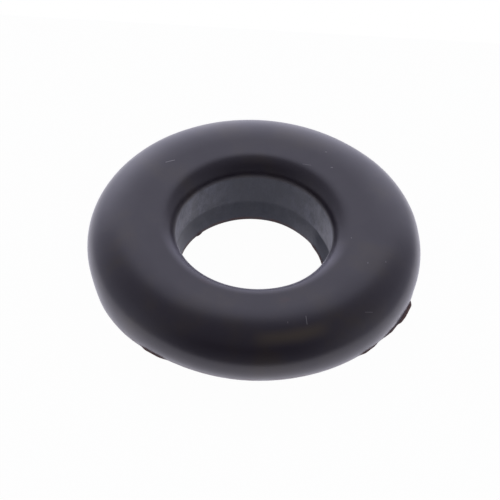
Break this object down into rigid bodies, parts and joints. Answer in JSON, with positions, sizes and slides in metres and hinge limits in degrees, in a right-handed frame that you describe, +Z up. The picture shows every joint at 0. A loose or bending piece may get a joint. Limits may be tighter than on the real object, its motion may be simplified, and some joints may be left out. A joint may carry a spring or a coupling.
{
  "type": "rubber grommet",
  "caption": "Thick round rubber ring grommet with a full round rim, a wide rolled mouth and a straight bore that closes in to a sharp lower edge.",
  "frame": {"origin": "on the bore's axis, in the plane of the flat rest face under the ring", "axes": "+Z up along the bore towards the rolled mouth, -Y to the front, where the flash on the rim is, +X to the right seen from the front"},
  "size_m": [0.02, 0.02, 0.0044],
  "materials": {
    "rubber": "satin black moulded rubber"
  },
  "bodies": {
    "root": {"grommet": "rubber"}
  },
  "joints": []
}
